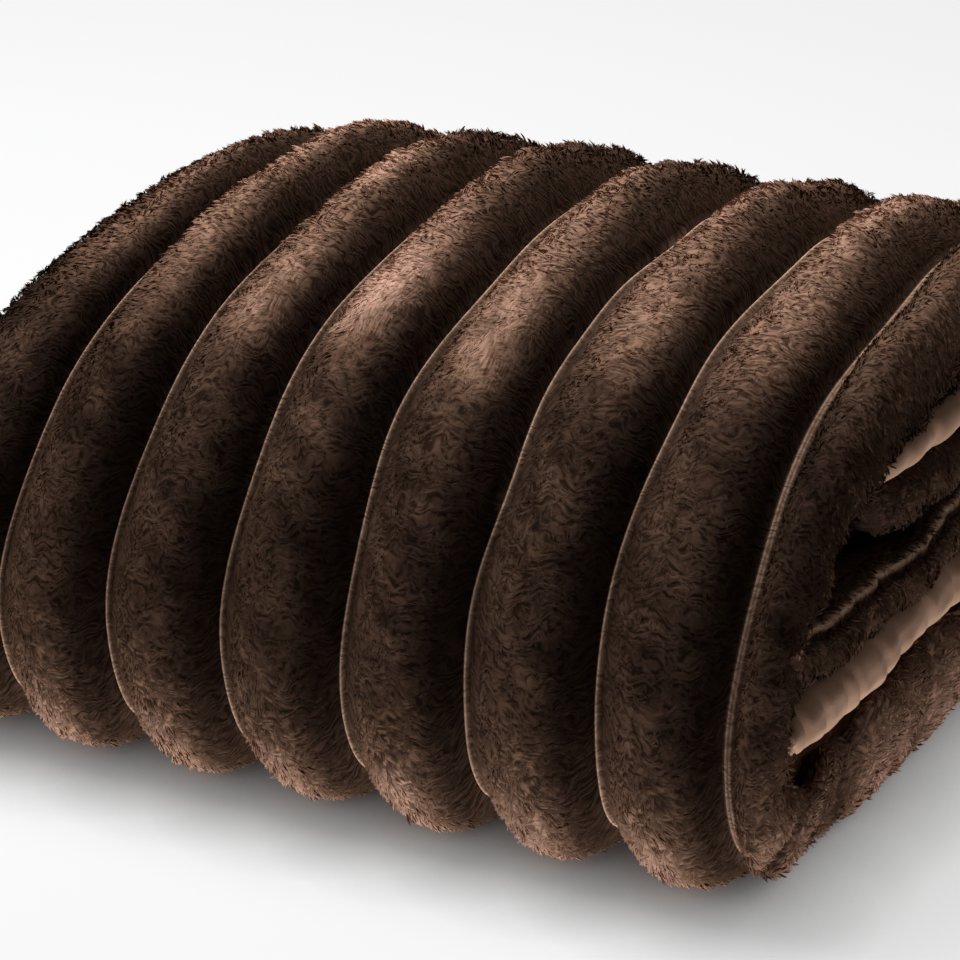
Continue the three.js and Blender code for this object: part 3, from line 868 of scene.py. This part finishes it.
def pile_tone(points):
    """How pale the pile is: low on the front, in clouds, with painted light near the floor and on the roof,
    and painted shade on the edge strip above the floor.
    """
    x, y, z = np.moveaxis(points, -1, 0)
    tone = FRONT_TONE + wave(BIG_CLOUDS, 7, x, y, z) + wave(SMALL_CLOUDS, 8, x, y, z)
    tone = tone + FLOOR_TONE * bump_at(z, *FLOOR_BAND) + ROOF_TONE * between(*ROOF_RISE, z)
    strip_front = between(LAST_SEAM_X, 188, x) * between(90, 130, z)
    return np.clip(tone * (1 - STRIP_TONE_CUT * strip_front), DARKEST_TONE, 1)


def painted_flank_shade(x, leg):
    """Painted shade: 1 on the crest of a rib, falling to FLANK_TONE on its right flank, the side away from
    the light.

    The fall is at two thirds of the rib, and nearer to its crest on the roof. Beside the crease at
    its left the short pile is browner too.
    """
    share = np.mod((x - LAST_SEAM_X) / RIB_PITCH, 1)
    fall = between(*FLANK_FALLS, share + FLANK_SOONER * between(*FLANK_LEGS, leg)) * (x < LAST_SEAM_X)
    return (1 - (1 - FLANK_TONE) * fall) * (0.45 + 0.55 * between(0.06, 0.36, share))


# Folded edges at the right end that stand out of the sweep. Each row: y, z, outermost x and half
# height of the fold, along its own line
SMOOTH_FOLD_LOWER = (
    (-189, 80, 203, 2), (-183, 78.5, 203, 7), (-165, 77, 203, 10.5), (-140, 77, 204, 11.5),
    (-110, 77, 204.5, 11.5), (-66, 80, 204.5, 11), (-40, 80, 204.5, 12), (-16, 78, 204.5, 12),
    (30, 79, 204, 12), (66, 79, 202, 11), (84, 79, 197, 4),
)
HEM_ROLL_LOWER = (
    (-188, 110, 203, 2), (-182, 107.5, 203, 7), (-172, 103.5, 201, 12), (-150, 101, 202, 13),
    (-127, 99.5, 202, 13), (-100, 100, 202, 13), (-80, 99.5, 203, 12.5), (-55, 97, 203, 12.5),
    (-35, 102, 203, 13.5), (0, 103, 203, 13), (36, 103, 202, 12), (62, 101, 201, 11),
    (80, 98, 197, 4),
)
HEM_ROLL_UPPER = (
    (-98, 134, 190, 2), (-94, 134, 194, 9), (-86, 134, 199, 14), (-70, 134, 202, 15),
    (-45, 134, 204, 15.5), (0, 136, 204, 15), (24, 134, 203, 14), (42, 130, 202, 11), (56, 125, 197, 3),
)
SMOOTH_FOLD_UPPER = (
    (-124, 152, 198, 1.5), (-112, 152.5, 201, 3.5), (-95, 153, 203, 5.5), (-70, 153.5, 204, 7),
    (-45, 153.5, 204.5, 7.5), (-20, 155, 205, 8), (20, 155, 204, 8), (44, 151, 202, 7), (62, 145, 197, 2),
)
# Soft creases across those folds: y where they start, slant, half width and depth
SMOOTH_CREASES = (
    (-176, 0.1, 2.5, 5), (-158, 0.3, 2.2, 2.2), (-139, 0.3, 2.0, 3), (-128, 0.35, 2.4, 3.2),
    (-104, 0.4, 2.6, 2.8), (-88, 0.3, 3, 1.6), (-60, 0.3, 2.5, 2.4), (-31, 0.3, 3, 2.2), (18, 0.3, 4, 2),
)
HEM_CREASES = (
    (-160, 0.2, 4, 2), (-120, 0.2, 5, 2.5), (-99, 0.1, 2.5, 3.5), (-62, 0.2, 5, 2.5), (-30, 0.2, 4, 2),
    (12, 0.1, 6, 2.5),
)
CREASE_SHARE = 0.8  # of that depth
END_WAVES, END_RIPPLES, END_SWELL = (0.5, 30), (0.2, 11), (0.05, 40)  # height and size
END_FULL_HALF = 10  # half height from which the creases have their full depth
END_STEPS = 20  # rows to each span of a fold's line
END_COLUMNS = 41
END_SPAN = 100  # degrees of the ellipse, either way from +X
END_FLAT = 0.9  # reach of the ellipse towards +X, in half heights
END_DEPTH = 2.6  # how far a fold reaches back into the stack, in half heights
END_BACK = 0.7  # height of its back, as a share
END_BRUSHED = 0.5
END_CLOTH_PALER, END_PILE_PALER = 0.05, 0.04  # tones over those of the stack
# Pale line along the hem: its angle and half width in degrees, and the groove beside it
HEM_LINE = {"angle": 50, "half": 7, "groove": 34, "depth": 0.16}


def end_fold(name, table, material, creases, seed, hem_line=False):
    """A fold at the right end: half an ellipse towards +X, carried along its line, and its grid.

    At an angle a, the fold is at x = centre + half cos a and m = half sin a up from its line,
    where the creases and the ripples draw x in.
    """
    y, z, x, half = through(table, END_STEPS).T
    line = np.stack([y, z], -1)
    run = np.concatenate([[0], np.cumsum(np.linalg.norm(np.diff(line, axis=0), axis=1))])[:, None]
    tangent = unit(np.gradient(line, axis=0))
    out = np.stack([-tangent[:, 1], tangent[:, 0]], -1)
    angle = np.radians(np.linspace(-END_SPAN, END_SPAN, END_COLUMNS))[None]
    across = half[:, None] * np.sin(angle)
    drawn = sum(depth * bump_at(y[:, None] + slant * across, start, wide)
                for start, slant, wide, depth in creases)
    drawn = CREASE_SHARE * drawn + wave(END_WAVES, seed, run, across)
    drawn = drawn + wave(END_RIPPLES, seed + 1, run, across)
    centre = (x - END_FLAT * half)[:, None]
    swell = 1 + wave(END_SWELL, seed + 2, run)
    seam = np.zeros_like(across)
    if hem_line:
        groove = bump_at(np.degrees(angle), HEM_LINE["groove"], HEM_LINE["half"])
        swell = swell - HEM_LINE["depth"] * groove
        seam = bump_at(np.degrees(angle), HEM_LINE["angle"], HEM_LINE["half"]) + 0 * across
    front = np.clip(half / END_FULL_HALF, 0.1, 1)[:, None]
    inward = drawn * front * np.clip(np.cos(angle), 0, 1)
    fold_x = centre + END_FLAT * half[:, None] * np.cos(angle) * swell - inward
    m = across * swell
    back = (x - END_DEPTH * half)[:, None]
    loop_x = np.concatenate([fold_x, back, back], 1)
    loop_m = np.concatenate([m, END_BACK * half[:, None], -END_BACK * half[:, None]], 1)
    grid = np.stack([loop_x, y[:, None] + loop_m * out[:, :1], z[:, None] + loop_m * out[:, 1:]], -1)
    paleness = np.concatenate([seam, 0 * back, 0 * back], 1)
    along = run + 0 * paleness
    piece = swept(name, grid, material, {
        "seam": paleness, "pile_tone": pile_tone(grid) + END_CLOTH_PALER,
        "brushed": END_BRUSHED + 0 * along, "along": along,
        "across": np.concatenate([half[:, None] * angle, half[:, None] * 2, half[:, None] * 3], 1)})
    return piece, grid[:, :END_COLUMNS], seam


s = sections()
ROWS = len(s["leg"])
h = levels(s)
face_loop, outer_columns = face_profile(s, h)
face_points = place(s, face_loop[..., 0], face_loop[..., 1])
face_seam = face_loop[..., 3]
leg = s["leg"][:, None]
# How flat the nap is brushed, and the painted highlight added to the tone on those patches
flat_nap_and_highlight = brushed(face_loop[..., 0], leg)
# Painted shade on the right flank of each rib multiplies the tone
face_tone = np.clip(pile_tone(face_points) + flat_nap_and_highlight, 0, 1) * painted_flank_shade(face_loop[..., 0], leg)
# Painted shade in the puckers of the long edge
face_tone = face_tone * (1 - PUCKER_DARKER * pucker_shade(s, face_loop[..., 0]))
step_across = np.linalg.norm(np.diff(face_loop[..., :2], axis=1, prepend=face_loop[:, :1, :2]), axis=-1)
face = swept("ribbed_face_cloth", face_points, GROUND_PILE, {
    "seam": face_seam, "pile_tone": face_tone, "brushed": np.clip(3 * flat_nap_and_highlight, 0, 1),
    "across": np.median(np.cumsum(step_across, axis=1), axis=0)[None] + 0 * face_seam,
    "along": s["run"][:, None] + 0 * face_seam})
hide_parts("ribbed_face")

backing_loop = backing_profile(s, h)
backing = swept("smooth_backing_cloth", place(s, backing_loop[..., 0], backing_loop[..., 1]), SMOOTH)
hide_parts("smooth_backing")

# Folded edges that stand out at the right end, with pile on those of the face
HEM_PILE = 0.85  # length of that pile, as a share of the full length
HEM_PILE_STARTS = (-95, -70)  # degrees
HEM_NAP = (0.35, -0.1, -0.5)
for name, table, seed in (
    ("smooth_fold_lower", SMOOTH_FOLD_LOWER, 11),
    ("smooth_fold_upper", SMOOTH_FOLD_UPPER, 14),
):
    piece, _, _ = end_fold(name, table, SMOOTH, SMOOTH_CREASES, seed)
end_ribbed = []
for name, table, hem_line, seed in (
    ("hem_roll_lower", HEM_ROLL_LOWER, True, 17),
    ("hem_roll_upper", HEM_ROLL_UPPER, False, 20),
):
    piece, grid, seam = end_fold(name, table, GROUND_PILE, HEM_CREASES, seed, hem_line)
    angle = np.linspace(-END_SPAN, END_SPAN, END_COLUMNS)[None]
    at_line = 1 - 0.95 * np.clip(seam * 1.4, 0, 1)
    grown = HEM_PILE * between(*HEM_PILE_STARTS, angle) * at_line * np.ones_like(seam)
    tone = pile_tone(grid) + END_PILE_PALER
    nap = np.array(HEM_NAP) * np.ones_like(grid)
    pile = grow_pile("pile_" + name, grid, grown, tone, nap, np.ones_like(seam), 200 + seed)
    end_ribbed += [piece, pile]

# Pile on the outer surface, a piece for each rib: the legs over which it starts and ends, also on
# the edge strip, and gets thinner towards the back, and the share that it and the left fold lose
PILE_FROM, PILE_TO, STRIP_PILE_TO = (0.62, 0.72), (3.9, 4.0), (4.5, 4.6)
THIN_FROM, THINNED, LEFT_THINNED = (2.52, 2.62), 0.62, 0.6
# How flat the nap lies: anywhere, more near the floor, by a patch's tone, and at most
LEAST_FLAT, FLOOR_FLAT, PATCH_FLAT, MOST_FLAT = 0.12, 0.25, 2.2, 0.95
# And how it is turned: to the right on the front, and outwards on the edge strip
SIDEWAYS, SIDEWAYS_NAP, STRIP_NAP = 0.4, (1.0, 0, 0), (0.45, 0, -0.1)
outer = face_points[:, :outer_columns]
outer_x = face_loop[:, :outer_columns, 0]
shown = between(*PILE_FROM, leg) * (1 - between(*PILE_TO, leg))
at_edge = (outer_x > LAST_SEAM_X + 1) * (1 - between(*STRIP_PILE_TO, leg))
at_left = outer_x < LEFT_FOLD_X + 4
growth = face_loop[:, :outer_columns, 2] * np.clip(shown + at_edge + at_left, 0, 1)
growth = growth * (1 - PUCKER_SHORTER * pucker_shade(s, outer_x))
density = (1 - THINNED * between(*THIN_FROM, leg)) * (1 - LEFT_THINNED * at_left) * np.ones_like(outer_x)
flat_nap_and_highlight = flat_nap_and_highlight[:, :outer_columns]
tone = face_tone[:, :outer_columns]
flatness = LEAST_FLAT + FLOOR_FLAT * bump_at(outer[..., 2], 20, 25) + PATCH_FLAT * flat_nap_and_highlight
nap = unit(-np.gradient(outer, axis=0)) * np.clip(flatness, 0, MOST_FLAT)[..., None]
sideways = SIDEWAYS * bump_at(outer[..., 2], 95, 60) * (outer[..., 1] < 0) * (1 - np.clip(2 * flat_nap_and_highlight, 0, 1))
nap = nap + np.array(SIDEWAYS_NAP) * (sideways * (outer_x < LAST_SEAM_X))[..., None]
nap = nap + np.array(STRIP_NAP) * (outer_x > LAST_SEAM_X)[..., None]

middle_x = np.median(outer_x, axis=0)
edges = [1e3, LAST_SEAM_X] + [seam_x(k) for k in range(len(RIB_SHARES) - 1, 0, -1)] + [-1e3]
for i, name in enumerate("hgfedcba"):
    inside = np.flatnonzero((middle_x <= edges[i] + 0.5) & (middle_x >= edges[i + 1] - 0.5))
    part = slice(inside.min(), inside.max() + 1)
    grow_pile("pile_rib_" + name, outer[:, part], growth[:, part], tone[:, part],
                                 nap[:, part], density[:, part], 100 + i)


def aim(thing, at, to):
    """Places a lamp or a camera at a point in mm and turns it to another."""
    thing.location = Vector(at) * MM
    thing.rotation_euler = (Vector(at) - Vector(to)).to_track_quat("Z", "Y").to_euler()


def area_light(name, at, to, size, watts):
    """A white square light at a point in mm, aimed at another."""
    data = bpy.data.lights.new(name, "AREA")
    data.shape, data.size, data.energy = "SQUARE", size * MM, watts
    aim(put(name, data), at, to)


# Floor: the share of light that it sends back, and its own even glow, as on a lit white table
FLOOR_ALBEDO = (0.16, 0.16, 0.161, 1)
FLOOR_GLOW = 0.64
CONTACT_REACH_M = 0.05  # within this distance the stack dims the glow
FLOOR_HALF = 9000
LIT_POINT = (0, -20, 90)
KEY_LIGHT = {"at": (-700, 0, 1900), "to": LIT_POINT, "size": 1500, "watts": 92}
BOUNCE_LIGHT = {"at": (0, -300, -1200), "to": LIT_POINT, "size": 3000, "watts": 100}
WORLD_STRENGTH = 0.18


def studio():
    """White floor with a glow of its own, one large soft light from above on the left, and a fill.

    The floor glows instead of being lit, so the stack's shadow on it stays faint, but the glow dims
    where the stack is close over it. The floor is left out of the stack's own lighting, and the
    bounce light from below stands for it.
    """
    material, tree = new_material("white_paper_floor")
    paper = add(tree, "ShaderNodeBsdfDiffuse", {"Color": FLOOR_ALBEDO})
    occlusion = add(tree, "ShaderNodeAmbientOcclusion", {"Distance": CONTACT_REACH_M, "samples": 12})
    dimmed = add(tree, "ShaderNodeMath", {"operation": "MULTIPLY"}, _0=occlusion.outputs["AO"])
    dimmed.inputs[1].default_value = FLOOR_GLOW
    glow = add(tree, "ShaderNodeEmission", None, Strength=dimmed.outputs[0])
    both = add(tree, "ShaderNodeAddShader", None, _0=paper.outputs[0], _1=glow.outputs[0])
    add(tree, "ShaderNodeOutputMaterial", None, Surface=both.outputs[0])
    corners = FLOOR_HALF * np.array([(-1, -1, 0), (1, -1, 0), (1, 1, 0), (-1, 1, 0)], float)
    floor = bpy.data.meshes.new("floor")
    floor.from_pydata((corners * MM).tolist(), [], [(0, 1, 2, 3)])
    floor.materials.append(material)
    stage = put("floor", floor)
    stage.visible_diffuse = stage.visible_shadow = False
    area_light("key", **KEY_LIGHT)
    area_light("bounce", **BOUNCE_LIGHT)
    world = bpy.data.worlds.new("studio")
    bpy.context.scene.world = world
    world.use_nodes = True
    background = world.node_tree.nodes["Background"]
    background.inputs["Color"].default_value = (1, 1, 1, 1)
    background.inputs["Strength"].default_value = WORLD_STRENGTH


def photo_camera():
    """The camera of the photograph: its place, its aim and its focal length in frame pixels."""
    data = bpy.data.cameras.new("camera")
    data.sensor_width = SENSOR_MM
    data.lens = FOCAL_PIXELS / FRAME_PIXELS * SENSOR_MM
    data.clip_start, data.clip_end = 0.05, 60
    camera = put("camera", data)
    aim(camera, CAMERA_AT, CAMERA_TO)
    bpy.context.scene.camera = camera


studio()
photo_camera()
bpy.context.scene.view_settings.view_transform = "Standard"
